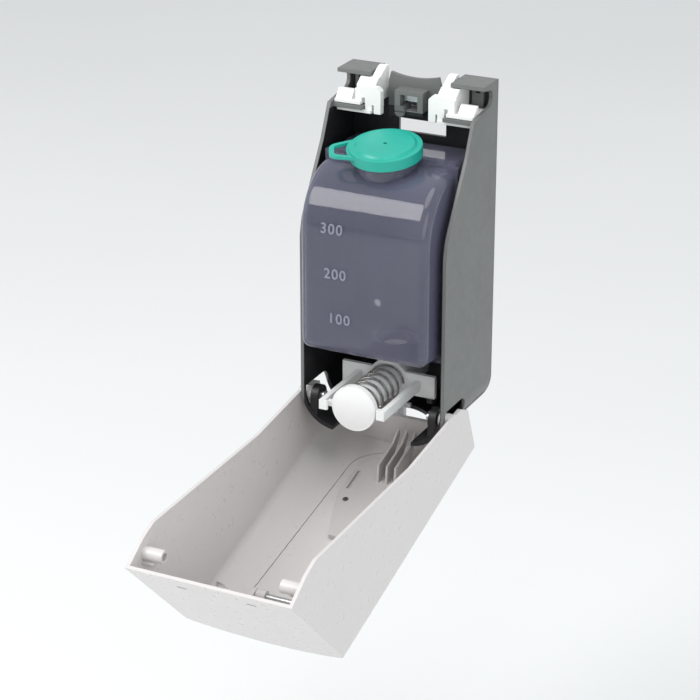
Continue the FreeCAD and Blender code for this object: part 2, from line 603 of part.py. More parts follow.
def make_wall_hook():
    """The steel hook on the wall that the housing's centre panel hangs on."""
    plate = block("hook_plate", ("-hook_plate_half", "hook_plate_half"), ("-hook_plate_thick", "0"),
                  (below("panel_drop - 1"), below("9.5")))
    across = ("-window_width / 2 + 0.3", "window_width / 2 - 0.3")
    front = "-panel_front - 3"
    top = below("window_top_drop")
    lip = block("hook_lip", across, (front, "-hook_plate_thick / 2"), (top + " - hook_plate_thick", top))
    upstand = block("hook_end", across, (front, front + " + hook_plate_thick"), (top + " - 4", top))
    node("wall_hook", fused("wall_hook", [plate, lip, upstand]))
    head = rod("hook_screw_head", "y", ("hook_screw_x", "-boss_front - 1.4", below("hook_screw_drop")),
               "hook_screw_radius", "boss_front - panel_front + 2")
    slot = block("hook_screw_slot", ("hook_screw_x - hook_screw_radius", "hook_screw_x + hook_screw_radius"),
                 ("-boss_front - 2", "-boss_front - 0.6"),
                 (below("hook_screw_drop + 0.4"), below("hook_screw_drop - 0.4")))
    node("hook_screw", cut("hook_screw", head, [slot]))


# ---------------------------------------------------------------- latches

def make_latches():
    base_level = "shelf_drop - latch_gap"
    wedge = prism(
        "latch_wedge", "yz",
        [
            ("-wedge_front", below(base_level)),
            ("-wedge_back", below(base_level)),
            ("-wedge_back", below("wedge_top_drop")),
            ("-wedge_crest", below("wedge_top_drop")),
        ],
        ("wedge_inner", "wedge_outer"))
    base = block("latch_base_plate", ("leg_inner", "wedge_outer"), ("-wedge_front", "-latch_back"),
                 (below(base_level), below(base_level + " - latch_base")))
    face = prism(
        "latch_face", "xz",
        [
            ("leg_inner", below(base_level)),
            ("arm_outer", below(base_level)),
            ("arm_outer", below("arm_brow_drop + 1.5")),
            ("arm_outer - 2.5", below("arm_brow_drop")),
            ("prong_inner + 2", below("arm_brow_drop")),
            ("prong_inner", below("arm_brow_drop + 2")),
            ("prong_inner", below(base_level)),
            ("prong_outer", below(base_level)),
            ("prong_outer", below("arm_brow_drop + 6")),
            ("leg_inner", below("arm_brow_drop + 6")),
        ],
        ("-arm_face", "-arm_face + prong_thick"))
    middle = "(prong_inner + prong_outer) / 2"
    prong_in = block("prong_inner_leg", ("prong_inner", middle + " - prong_slit / 2"),
                     ("-arm_face", "-arm_face + prong_thick"), (below("prong_drop"), below(base_level + " - 1")))
    prong_out = block("prong_outer_leg", (middle + " + prong_slit / 2", "prong_outer"),
                      ("-arm_face", "-arm_face + prong_thick"), (below("prong_drop"), below(base_level + " - 1")))
    body = prism(
        "latch_body", "yz",
        [
            ("-arm_face + prong_thick / 2", below(base_level)),
            ("-arm_rear", below(base_level)),
            ("-arm_rear", below("flange_thick + 0.5")),
            ("-flange_depth", below("flange_thick + 0.5")),
            ("-arm_face + prong_thick / 2", below("arm_brow_drop")),
        ],
        ("arm_inner", "arm_outer"))
    hook = prism(
        "latch_hook", "yz",
        [
            ("-arm_face + prong_thick / 2", below("arm_brow_drop + 1")),
            ("-arm_rear", below("flange_thick + 1")),
            ("-arm_rear", "top_level + hook_rise"),
            ("-arm_rear - 3", "top_level + hook_rise"),
            ("-arm_face + prong_thick / 2", below("arm_brow_drop")),
        ],
        ("arm_inner", "hook_outer"))
    web = block("latch_web", ("arm_inner + 1", "prong_outer"), ("-arm_face + prong_thick", "-latch_back"),
                (below("shelf_drop + shelf_thick + latch_gap + foot_thick"), below(base_level + " - 1")))
    foot = block("latch_foot", ("arm_inner + 1", "wedge_outer - 1"), ("-wedge_front + 1", "-latch_back"),
                 (below("shelf_drop + shelf_thick + latch_gap + foot_thick"),
                  below("shelf_drop + shelf_thick + latch_gap")))
    right = fused("latch_right", [wedge, base, face, prong_in, prong_out, body, hook, web, foot])
    node("latch_right", right)
    node("latch_left", mirrored("latch_left", right))


# ---------------------------------------------------------------- cover

def cover_solid(name, inset):
    """The closed cover's outer form, or with an inset its inner form, about the hinge axis."""
    front = "(cover_front + cover_bow + 1)"
    fall = "cover_top_fall / (cover_front_top - cover_top_back)"
    top = "cover_top_drop + (%s) * 1.09" % inset
    floor = "cover_bottom_drop - (%s)" % inset
    half = "(cover_width / 2 - (%s))" % inset
    front_side = [
        closed(front, top + " + (%s - cover_top_back) * %s" % (front, fall)),
        closed(front, floor),
    ]
    if inset == "0":
        rim_high, rim_foot = closed("rim_top_depth", "rim_high_drop"), closed("rim_low_depth", "rim_low_drop")
        rest = [
            closed("bottom_depth", floor + " - cover_bottom_rise"),
            rim_foot,
            closed("rim_mid_depth", "rim_mid_drop"),
            rim_high,
            closed("rim_top_depth", "rim_top_drop"),
            closed("cover_top_back", top),
        ]
        side = prism(name + "_side", "yz", front_side + rest, ("-" + half, half))
        rounded(side, "rim_bend", "x", [rim_high])
    else:
        rest = [
            closed("-5", floor + " - cover_bottom_rise"),
            closed("-5", top + " - (cover_top_back + 5) * " + fall),
        ]
        side = prism(name + "_side", "yz", front_side + rest, ("-" + half, half))
    face = "(%s)" % inset
    plan = prism(
        name + "_plan", "xy",
        [("-" + half, "cover_front + 10"), ("-" + half, face), (half, face), (half, "cover_front + 10")],
        ("-20", "cover_bottom_drop + 40"), bow=(1, "0", face + " - cover_bow"))
    rounded(plan, "cover_edge - (%s)" % inset, "z", [("-" + half, face), (half, face)])
    return common(name, side, on_front(plan))


def panel_outline(name, grow):
    """The push panel's outline through the cover's front, grown on every side."""
    low = "(panel_low_half + (%s))" % grow
    high = "(panel_top_half + (%s))" % grow
    top_line = up_front("panel_top_drop - (%s)" % grow)
    low_line = up_front("panel_low_drop")
    plug = prism(
        name, "xz",
        [("-" + high, top_line), ("-" + low, low_line), (low, low_line), (high, top_line)],
        ("-cover_bow - 3", "6"), bow=(1, "0", low_line + " - " + low + " + 0.01"))
    return on_front(plug)


def make_cover():
    outer = cover_solid("cover_outer", "0")
    cavity = cover_solid("cover_cavity", "cover_wall")
    shell = cut("cover_shell", outer, [cavity])
    opening = panel_outline("panel_opening", "panel_slit")
    inner = "(cover_width / 2 - cover_wall)"
    low, high = closed("0", "cover_bottom_drop + 1")[1], closed("0", "cover_bottom_drop - 10")[1]
    rear = closed("20", "0")[0]
    side_cut = block("bottom_side_cut", ("tongue_half_width", inner), (closed("bottom_cut_depth", "0")[0], rear),
                     (low, high))
    tongue_cut = block("tongue_cut", ("-tongue_half_width - 1", "tongue_half_width + 1"),
                       (closed("tongue_depth", "0")[0], rear), (low, high))
    slot_place = "cover_top_back + key_slot_inset * 0.92"
    slot = block("key_slot", ("key_slot_x - key_slot_width / 2", "key_slot_x + key_slot_width / 2"),
                 (closed(slot_place + " + key_slot_high / 2", "0")[0],
                  closed(slot_place + " - key_slot_high / 2", "0")[0]),
                 (closed("0", "20")[1], closed("0", "-10")[1]))
    tools = [opening, tongue_cut] + both_sides("bottom_side_cut_left", side_cut) + both_sides("key_slot_left", slot)
    open_shell = cut("cover_open_shell", shell, tools)

    depth, drop = closed("catch_depth", "catch_drop")
    catch = rod("catch_boss", "x", (inner + " - catch_length", depth, drop), "catch_radius", "catch_length + 0.5")
    catch_hollow = rod("catch_hollow", "x", (inner + " - catch_length - 1", depth, drop), "catch_bore",
                       "catch_length")
    web = block("catch_gusset", (inner + " - 6", inner + " + 0.5"),
                (closed("catch_depth + catch_radius + 0.8", "0")[0],
                 closed("catch_depth + catch_radius + 0.8 - catch_web", "0")[0]),
                (drop, closed("0", "flange_thick + 1.2")[1]))
    start = "(lug_inner + lug_thick + side_gap)"
    boss = rod("hinge_boss", "x", (start, "0", "0"), "hinge_boss_radius", "cover_width / 2 - " + start)
    pieces = [open_shell]
    for name, piece in (("catch", catch), ("gusset", web), ("hinge_boss", boss)):
        pieces += both_sides(name + "_left", piece)

    ear_side = ("knuckle_x + knuckle_length + 0.3", "knuckle_x + knuckle_length + 0.3 + ear_thick")
    pin_line = up_front("panel_pin_drop")
    ear_top = up_front("panel_top_drop - panel_slit - 4")
    ear = block("pivot_ear", ear_side, ("panel_pin_inset - knuckle_radius", "panel_pin_inset + knuckle_radius"),
                (pin_line, ear_top))
    ear_low = rod("pivot_ear_round", "x", (ear_side[0], "panel_pin_inset", pin_line), "knuckle_radius", "ear_thick")
    ear_foot = block("pivot_ear_foot", ear_side,
                     ("-cover_bow + cover_wall / 2", "panel_pin_inset"), (ear_top + " - 3.2", ear_top))
    ears = []
    for name, piece in (("ear", ear), ("ear_round", ear_low), ("ear_foot", ear_foot)):
        ears += both_sides(name + "_left", piece)
    pieces.append(common("pivot_ears", on_front(fused("pivot_ears_whole", ears)), outer))
    bore = rod("hinge_bore", "x", ("lug_inner", "0", "0"), "hinge_pin_radius + hinge_fit", inner + " - lug_inner + 0.2")
    long_ear_bore = rod("ear_bore_right", "x", ("0", "panel_pin_inset", pin_line), "panel_pin_radius", "40")
    ear_bores = on_front(fused("ear_bores", both_sides("ear_bore_left", long_ear_bore)))
    tools = both_sides("bore_left", bore) + both_sides("catch_hollow_left", catch_hollow) + [ear_bores]
    node("cover", swung(cut("cover", fused("cover_whole", pieces), tools)))
    make_push_panel(shell, cavity, pin_line)


def make_push_panel(shell, cavity, pin_line):
    """The panel in the cover's front, its pivot pin and the press plate behind it."""
    skin = common("panel_skin", shell, panel_outline("panel_plug", "0"))
    knuckle = rod("panel_knuckle", "x", ("knuckle_x", "panel_pin_inset", pin_line), "knuckle_radius",
                  "knuckle_length")
    arm = block("knuckle_arm", ("knuckle_x", "knuckle_x + knuckle_length"),
                ("-cover_bow + cover_wall / 2", "panel_pin_inset"),
                (pin_line + " - knuckle_radius", pin_line + " + knuckle_radius"))
    arms = on_front(fused("knuckles", both_sides("knuckle_left", knuckle) + both_sides("arm_left", arm)))
    solid_front = common("knuckles_trimmed", arms, common("panel_room", panel_outline("panel_limit", "-1"),
                                                          doc.getObject("cover_outer")))
    bore_half = rod("panel_bore_right", "x", ("0", "panel_pin_inset", pin_line), "panel_pin_radius + hinge_fit", "40")
    bore = on_front(fused("panel_bore", both_sides("panel_bore_left", bore_half)))
    node("push_panel", swung(cut("push_panel", fused("push_panel_whole", [skin, solid_front]), [bore])))

    end = "(knuckle_x + knuckle_length + 0.3 + ear_thick)"
    shank = rod("panel_pin_shank", "x", ("-" + end, "panel_pin_inset", pin_line), "panel_pin_radius", "2 * " + end)
    head = rod("panel_pin_head", "x", (end, "panel_pin_inset", pin_line), "panel_pin_radius + 0.7", "1")
    pin = on_front(fused("panel_pin_straight", [shank, head]))
    node("panel_pin", swung(grouped("panel_pin", pin)))

    half = "plate_half_width"
    top_line, low_line = up_front("plate_top_drop"), up_front("plate_bottom_drop - plate_half_width")
    shoulder = up_front("plate_top_drop + 28")
    raw = prism(
        "plate_form", "xz",
        [("-%s * 0.35" % half, top_line), ("-" + half, shoulder), ("-" + half, low_line),
         (half, low_line), (half, shoulder), (half + " * 0.35", top_line)],
        ("-cover_bow - 3", "-cover_bow + cover_wall + plate_thick"),
        bow=(2, "0", low_line + " - %s + 0.01" % half))
    plate = common("plate_body", on_front(raw), cavity)
    fins = []
    root = "-cover_bow + cover_wall + plate_thick - 1"
    for number in range(3):
        start = "fin_first_x + %d * fin_pitch" % number
        fins.append(prism(
            "fin_%d" % number, "yz",
            [
                (root, up_front("fin_top_drop")),
                ("fin_reach", up_front("fin_top_drop + 4")),
                ("fin_reach", up_front("fin_bend_drop")),
                ("fin_low_reach", up_front("fin_low_drop")),
                ("fin_low_reach - 4", up_front("fin_low_drop")),
                (root, up_front("plate_bottom_drop - 4")),
            ],
            (start, start + " + fin_thick")))
    face = "(-cover_bow + cover_wall + plate_thick)"
    screw_place = ("plate_screw_x", face + " - 1.2", up_front("plate_screw_drop"))
    sink = rod("plate_screw_sink", "y", screw_place, "plate_screw_radius", "3")
    slit = block("plate_slit", ("-11.2", "-9.4"), (face + " - 1.2", face + " + 2"),
                 (up_front("150"), up_front("136")))
    cutters = on_front(fused("plate_cutters", [sink, slit]))
    whole = fused("plate_whole", [plate, on_front(fused("plate_fins", fins))])
    node("press_plate", swung(cut("press_plate", whole, [cutters])))
    disc = rod("plate_screw_disc", "y", screw_place, "plate_screw_radius", "0.8")
    button = rod("plate_screw_button", "y", screw_place, "plate_screw_radius - 0.4", "1.4")
    screw = on_front(fused("plate_screw_straight", [disc, button]))
    node("plate_screw", swung(grouped("plate_screw", screw)))


def make_hinge_pins():
    shank = rod("pin_shank", "x", ("lug_inner - 0.5", "-hinge_depth", below("hinge_drop")), "hinge_pin_radius",
                "cover_width / 2 - cover_wall - lug_inner")
    head = rod("pin_head", "x", ("lug_inner - 2", "-hinge_depth", below("hinge_drop")), "hinge_pin_head", "2")
    right = fused("hinge_pin_right", [shank, head])
    node("hinge_pin_right", right)
    node("hinge_pin_left", mirrored("hinge_pin_left", right))


# ---------------------------------------------------------------- bottle and cap

def bottle_solid(name, inset):
    """The bottle's outer form, or with an inset its inner form."""
    slope = "(bottle_brow_drop - bottle_top_drop) / (bottle_front - bottle_level)"
    half = "(bottle_half_width - (%s))" % inset
    front = "-bottle_front + (%s)" % inset
    brow = (front, below("bottle_brow_drop + (%s) * 1.1 - (%s) * %s" % (inset, inset, slope)))
    foot = (front, below("bottle_front_drop - (%s)" % inset))
    back = "-bottle_back - (%s)" % inset
    body = prism(
        name, "yz",
        [
            (back, below("bottle_low_drop - (%s)" % inset)),
            (back, below("bottle_rear_drop + (%s)" % inset)),
            ("-bottle_level", below("bottle_top_drop + (%s) * 1.1" % inset)),
            brow,
            foot,
        ],
        ("-" + half, half))
    rounded(body, "bottle_round - (%s)" % inset, "x", [brow])
    rounded(body, "bottle_foot - (%s)" % inset, "x", [foot])
    names = []
    for number, edge in enumerate(body.Tip.Shape.Edges, start=1):
        box = edge.BoundBox
        if box.XLength < 0.01 and abs(abs(box.Center.x) - value(half)) < 0.01 and box.YMin < -value("bottle_level") - 1:
            names.append("Edge%d" % number)
    base = body.Tip
    fillet = body.newObject("PartDesign::Fillet", name + "_sides")
    fillet.Base = (base, names)
    bind(fillet, "Radius", "(bottle_foot - (%s)) * 0.99" % inset)
    body.Tip = fillet
    doc.recompute()
    return body


def make_bottle_halves():
    outer = bottle_solid("bottle_outer", "0")
    inner = bottle_solid("bottle_inner", "bottle_wall")
    hollow = cut("bottle_hollow", outer, [inner])
    wide = "bottle_half_width + seam_lip"
    slope = "(bottle_brow_drop - bottle_top_drop) / (bottle_front - bottle_level)"
    lip_bottom = below("bottle_low_drop + 1")
    lip_top = below("bottle_top_drop + (bottle_seam - bottle_level) * " + slope + " - seam_lip * 0.6")
    front_half = block("front_half", ("-60", "60"), ("-bottle_front - 5", "-bottle_seam"), (below("200"), below("0")))
    rear_half = block("rear_half", ("-60", "60"), ("-bottle_seam", "0"), (below("200"), below("0")))
    window = block("seam_window", ("-bottle_half_width + bottle_wall", "bottle_half_width - bottle_wall"),
                   ("-bottle_seam - 3", "-bottle_seam + 3"),
                   (below("bottle_low_drop - bottle_wall - 3"), below("bottle_top_drop + bottle_wall + 3")))
    front_lip = block("front_lip", ("-(%s)" % wide, wide), ("-bottle_seam - seam_thick", "-bottle_seam"),
                      (lip_bottom, lip_top))
    rear_lip = block("rear_lip", ("-(%s)" % wide, wide), ("-bottle_seam", "-bottle_seam + seam_thick"),
                     (lip_bottom, lip_top))
    well_base = ("0", "-well_depth", below("outlet_drop"))
    well_hole = rod("well_hole", "z", well_base, "well_radius", "outlet_drop - well_ring_drop + 2")
    neck_tube = rod("neck_tube", "z", ("0", "0", "-neck_root"), "neck_radius", "neck_height + neck_root")
    neck = leaning(grouped("neck", neck_tube))
    bore_rod = rod("neck_bore_rod", "z", ("0", "0", "-neck_root - 4"), "neck_radius - bottle_wall",
                   "neck_height + neck_root + 8")
    neck_bore = leaning(grouped("neck_bore", bore_rod))
    seat_rod = rod("neck_seat_rod", "z", ("0", "0", "-neck_root - 4"), "neck_radius", "neck_height + neck_root + 8")
    neck_seat = leaning(grouped("neck_seat", seat_rod))
    front_raw = common("bottle_front_raw", hollow, front_half)
    lip_ring = cut("front_lip_ring", front_lip, [window])
    front = cut("bottle_front", fused("bottle_front_whole", [front_raw, lip_ring, neck]), [neck_bore, well_hole])
    node("bottle_front", front)
    rear_raw = common("bottle_rear_raw", hollow, rear_half)
    rear_ring = cut("rear_lip_ring", rear_lip, [window])
    rear_well_hole = rod("rear_well_hole", "z", well_base, "well_radius", "outlet_drop - well_ring_drop + 2")
    rear_whole = fused("bottle_rear_whole", [rear_raw, rear_ring])
    node("bottle_rear", cut("bottle_rear", rear_whole, [rear_well_hole, neck_seat]))

    tube = rod("well_tube", "z", well_base, "well_radius", "outlet_drop - well_ring_drop")
    bore = rod("well_bore_cut", "z", ("0", "-well_depth", below("outlet_drop + 1")), "well_bore",
               "outlet_drop - well_ring_drop + 2")
    node("bottle_outlet", cut("bottle_outlet", tube, [bore]))


def make_cap():
    """The cap with its pull tab, in the neck's own frame: its axis is the neck's."""
    top = "neck_height + gasket_thick + cap_wall"
    disc = rod("cap_rim", "z", ("0", "0", top + " - cap_height"), "cap_radius", "cap_height")
    skirt = rod("cap_skirt_cut", "z", ("0", "0", top + " - cap_height - 1"), "neck_radius + cap_gap",
                "cap_height + 1 - cap_wall")
    raised = doc.addObject("Part::Cone", "cap_raised")
    bind(raised, "Radius1", "cap_disc_radius")
    bind(raised, "Radius2", "cap_disc_radius - cap_step")
    bind(raised, "Height", "cap_step")
    bind(raised, "Placement.Base.z", top)
    vent = rod("cap_vent", "z", ("0", "0", "0"), "cap_vent_radius", "20")
    level = top + " - tab_thick - 0.6"
    reach = "(cap_radius + tab_length)"
    root = "(cap_radius * 0.55)"
    slab = prism(
        "tab_slab", "xy",
        [
            ("-" + reach, "-tab_tip_half"),
            ("-" + root, "-tab_base_half"),
            ("-" + root, "tab_base_half"),
            ("-" + reach, "tab_tip_half"),
        ],
        (level, level + " + tab_thick"))
    rounded(slab, "tab_round", "z", [("-" + reach, "-tab_tip_half"), ("-" + reach, "tab_tip_half")])
    side = "(tab_tip_half - tab_band + (tab_base_half - tab_tip_half) * 0.15)"
    near = "(cap_radius - 2)"
    base = "(tab_base_half - tab_band - 1.5)"
    tip = "(cap_radius + tab_length - tab_band)"
    hole = prism(
        "tab_hole", "xy",
        [
            ("-" + tip, "-" + side),
            ("-" + near, "-" + base),
            ("-" + near, base),
            ("-" + tip, side),
        ],
        (level + " - 1", level + " + tab_thick + 1"))
    rounded(hole, "tab_round - tab_band * 0.8", "z", [("-" + tip, "-" + side), ("-" + tip, side)])
    hole_near = rod("tab_hole_limit", "z", ("0", "0", level + " - 2"), "cap_radius + 1.2", "tab_thick + 4")
    tab = cut("pull_tab", slab, [cut("tab_d_hole", hole, [hole_near])])
    tab.Placement = FreeCAD.Placement(FreeCAD.Vector(), FreeCAD.Rotation(FreeCAD.Vector(0, 0, 1), 1))
    bind(tab, "Placement.Rotation.Angle", "tab_angle")
    bore = rod("tab_bore", "z", ("0", "0", level + " - 3"), "cap_radius - 0.5", "tab_thick + 6")
    tab_only = cut("tab_only", tab, [bore])
    cap = cut("cap", fused("cap_whole", [disc, raised, tab_only]), [skirt, vent])
    node("cap", leaning(cap))
    ring = rod("gasket_disc", "z", ("0", "0", "neck_height"), "neck_radius - 0.2", "gasket_thick")
    hole_cut = rod("gasket_hole", "z", ("0", "0", "neck_height - 1"), "neck_radius - bottle_wall - 0.6",
                   "gasket_thick + 2")
    node("cap_gasket", leaning(cut("cap_gasket", ring, [hole_cut])))


# ---------------------------------------------------------------- pump

def make_pump():
    axis = below("pump_drop")
    length = "chamber_front - chamber_back"
    chamber = rod("chamber_tube", "y", ("0", "-chamber_front", axis), "chamber_radius", length)
    plate = block("bracket_plate", ("-bracket_half_width", "bracket_half_width"),
                  ("-chamber_front - bracket_thick", "-chamber_front"),
                  (axis + " - bracket_half_height", axis + " + bracket_half_height"))
    disc = rod("bracket_disc", "y", ("0", "-chamber_front - bracket_thick", axis), "chamber_radius + 1",
               "bracket_thick")
    arm = block("bracket_arm", ("arm_x - arm_thick / 2", "arm_x + arm_thick / 2"), ("-arm_front", "-chamber_front"),
                (axis + " - arm_high / 2", axis + " + arm_high / 2"))
    hook = block("arm_hook_tip", ("arm_x - arm_thick / 2 - arm_hook", "arm_x"), ("-arm_front", "-arm_front + 1.5"),
                 (axis + " - arm_high / 2", axis + " + arm_high / 2"))
    socket = rod("inlet_socket", "z", ("0", "-well_depth", axis + " + chamber_radius / 2"), "socket_radius",
                 "pump_drop - chamber_radius / 2 - outlet_drop + 3.5")
    shoulder = rod("socket_shoulder", "z", ("0", "-well_depth", axis + " + chamber_radius - 0.2"), "seal_radius",
                   "pump_drop - chamber_radius + 0.2 - outlet_drop - seal_thick")
    collar = rod("nozzle_collar", "z", ("0", "-nozzle_depth", below("nozzle_top_drop + 5")), "collar_radius",
                 "nozzle_top_drop + 5 - pump_drop - chamber_radius / 2")
    bore = rod("chamber_bore", "y", ("0", "-chamber_front - bracket_thick - 1", axis), "plunger_radius + plunger_fit",
               length + " + bracket_thick + 1 - 2")
    collar_bore = rod("collar_bore", "z", ("0", "-nozzle_depth", below("nozzle_top_drop + 6")), "nozzle_radius", "6")
    way_out = rod("outlet_way", "z", ("0", "-nozzle_depth", below("nozzle_top_drop + 1")), "nozzle_bore", "4")
    seat = axis + " + plunger_radius + 1.6"
    way_in = rod("inlet_way", "z", ("0", "-well_depth", axis + " + plunger_radius - 1"), "inlet_ball_radius - 0.8",
                 "4")
    ball_room = rod("ball_room", "z", ("0", "-well_depth", seat), "inlet_ball_radius + 0.6", "20")
    whole = fused("pump_whole", [chamber, plate, disc, socket, shoulder, collar] + both_sides("arm_left_side", arm)
                  + both_sides("hook_left_side", hook))
    node("pump_body", cut("pump_body", whole, [bore, collar_bore, way_out, way_in, ball_room]))

    ball = doc.addObject("Part::Sphere", "inlet_ball")
    bind(ball, "Radius", "inlet_ball_radius")
    bind(ball, "Placement.Base.y", "-well_depth")
    bind(ball, "Placement.Base.z", seat + " + inlet_ball_radius * 0.722")
    node("inlet_ball", ball)

    tube = rod("nozzle_tube", "z", ("0", "-nozzle_depth", below("nozzle_tip_drop")), "nozzle_radius",
               "nozzle_tip_drop - nozzle_top_drop")
    tube_bore = rod("nozzle_bore_cut", "z", ("0", "-nozzle_depth", below("nozzle_tip_drop + 1")), "nozzle_bore",
                    "nozzle_tip_drop - nozzle_top_drop - 1")
    duct = rod("nozzle_duct", "z", ("0", "-nozzle_depth", below("nozzle_top_drop + 3")), "nozzle_bore", "4")
    lug = block("nozzle_lug", ("nozzle_radius - 0.5", "nozzle_radius + 2.6"),
                ("-nozzle_depth - 0.8", "-nozzle_depth + 0.8"), (below("174.4"), below("172")))
    node("nozzle", cut("nozzle", fused("nozzle_whole", [tube, lug]), [tube_bore, duct]))

    rear = "-(chamber_front - plunger_entry)"
    button_back = "-(button_front - button_thick)"
    stem = rod("plunger_stem", "y", ("0", button_back, axis), "plunger_radius",
               "button_front - button_thick - chamber_front + plunger_entry")
    stem_core = rod("plunger_core", "y", ("0", rear + " - 12", axis), "plunger_radius - 2", "13")
    node("plunger", cut("plunger", stem, [stem_core]))
    seal = rod("piston_seal_disc", "y", ("0", rear, axis), "plunger_radius + plunger_fit - 0.02", "1.6")
    node("piston_seal", seal)

    face = rod("button_disc", "y", ("0", "-button_front", axis), "button_radius", "button_thick")
    dome_radius = "((button_radius - 0.6) ^ 2 + button_dome ^ 2) / (2 * button_dome)"
    dome = doc.addObject("Part::Sphere", "button_dome_ball")
    bind(dome, "Radius", dome_radius)
    bind(dome, "Placement.Base.y", "-button_front - button_dome + " + dome_radius)
    bind(dome, "Placement.Base.z", axis)
    dome_span = block("button_dome_span", ("-button_radius", "button_radius"),
                      ("-button_front - button_dome - 1", "-button_front + 1"),
                      (axis + " - button_radius", axis + " + button_radius"))
    dome_round = rod("button_dome_round", "y", ("0", "-button_front - button_dome - 1", axis),
                     "button_radius - 0.6", "button_dome + 2")
    cap_piece = common("button_dome_part", common("button_dome_slice", dome, dome_span), dome_round)
    side_lug = block("button_lug", ("button_radius - 1.5", "button_radius + lug_reach"),
                     ("-button_front + 0.6", button_back), (axis + " - 1.5", axis + " + 1.5"))
    node("push_button", fused("push_button", [face, cap_piece] + both_sides("button_lug_left", side_lug)))


def make_spring():
    """The return spring: one round wire wound in an even helix along Y, with closed end turns."""
    wire = size("spring_wire")
    radius = size("spring_radius")
    turns = size("spring_turns")
    start = -(size("chamber_front") + size("bracket_thick")) - wire
    length = size("button_front") - size("button_thick") + start - wire
    axis = size("top_level") - size("pump_drop")
    steps = int(turns * 16)
    points = []
    for step in range(steps + 1):
        turned = 2 * math.pi * turns * step / steps
        along = start - length * step / steps
        points.append(FreeCAD.Vector(radius * math.cos(turned), along, axis + radius * math.sin(turned)))
    path = Part.BSplineCurve()
    path.interpolate(points)
    section = Part.Wire(Part.makeCircle(wire, points[0], path.tangent(path.FirstParameter)[0]))
    spring = doc.addObject("Part::Feature", "return_spring")
    spring.Shape = Part.Wire(path.toShape()).makePipeShell([section], True, False)
    node("return_spring", spring)


def make_socket_seal():
    """The rubber ring between the bottle's outlet and the pump's socket."""
    ring = rod("seal_ring", "z", ("0", "-well_depth", below("outlet_drop + seal_thick")), "seal_radius", "seal_thick")
    hole = rod("seal_hole", "z", ("0", "-well_depth", below("outlet_drop + seal_thick + 1")), "socket_radius",
               "seal_thick + 2")
    node("socket_seal", cut("socket_seal", ring, [hole]))


make_housing()
make_wall_hook()
make_latches()
make_cover()
make_hinge_pins()
make_bottle_halves()
make_cap()
make_pump()
make_spring()
make_socket_seal()
doc.recompute()

for thing in doc.Objects:
    if "Invalid" in thing.State or "Error" in thing.State:
        raise RuntimeError("%s failed: %s" % (thing.Label, thing.State))

os.makedirs("parts", exist_ok=True)
for name, thing in NODES.items():
    shape = thing.Shape
    if shape.isNull() or not shape.isValid() or not shape.Solids:
        raise RuntimeError("%s is not a valid solid" % name)
    shape.exportStep("parts/%s.step" % name)
    box = shape.BoundBox
    print("%-16s solids %d volume %8.0f  x %6.1f..%5.1f y %6.1f..%5.1f z %6.1f..%5.1f" % (
        name, len(shape.Solids), shape.Volume, box.XMin, box.XMax, box.YMin, box.YMax, box.ZMin, box.ZMax))
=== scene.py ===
import math

import bpy
from mathutils import Euler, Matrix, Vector


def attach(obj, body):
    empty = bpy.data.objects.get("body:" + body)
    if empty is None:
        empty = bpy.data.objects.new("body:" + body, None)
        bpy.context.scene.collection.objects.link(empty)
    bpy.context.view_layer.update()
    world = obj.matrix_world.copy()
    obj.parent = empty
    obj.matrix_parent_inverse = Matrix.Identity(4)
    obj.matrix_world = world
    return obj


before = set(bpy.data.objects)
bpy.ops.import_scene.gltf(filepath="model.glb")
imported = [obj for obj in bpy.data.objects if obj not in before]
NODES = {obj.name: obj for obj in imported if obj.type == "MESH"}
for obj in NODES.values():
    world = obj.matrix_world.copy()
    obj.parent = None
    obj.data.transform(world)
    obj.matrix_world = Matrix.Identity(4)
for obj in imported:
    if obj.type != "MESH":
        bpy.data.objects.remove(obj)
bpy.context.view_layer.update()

MM = 0.001
TOP = 90 * MM           # height of the housing's top above the origin
# painted shade on the housing's inner faces fills the box set by these three limits
INNER_SIDE = 38.3 * MM  # the housing's inner faces: within this distance of the centre line,
INNER_BACK = -1.9 * MM  # in front of this level,
INNER_TOP = TOP - 17.2 * MM  # and under the shelves


# ------------------------------------------------------------ materials

def add(tree, kind, **values):
    """A new shader node with its sockets or settings set by name."""
    node = tree.nodes.new(kind)
    for name, value in values.items():
        key = name.replace("_", " ")
        if key in node.inputs:
            node.inputs[key].default_value = value
        else:
            setattr(node, name, value)
    return node


def mixed(tree, factor, first, second):
    """A colour between two, by a factor socket."""
    node = tree.nodes.new("ShaderNodeMix")
    node.data_type = "RGBA"
    tree.links.new(factor, node.inputs["Factor"])
    for socket, colour in ((node.inputs[6], first), (node.inputs[7], second)):
        if isinstance(colour, bpy.types.NodeSocket):
            tree.links.new(colour, socket)
        else:
            socket.default_value = (*colour, 1)
    return node.outputs[2]


def ramped(tree, factor, low, high, start=0.0, end=1.0):
    """A number between start and end as the factor goes from low to high."""
    node = tree.nodes.new("ShaderNodeMapRange")
    node.clamp = True
    tree.links.new(factor, node.inputs["Value"])
    for name, value in (("From Min", low), ("From Max", high), ("To Min", start), ("To Max", end)):
        node.inputs[name].default_value = value
    return node.outputs["Result"]


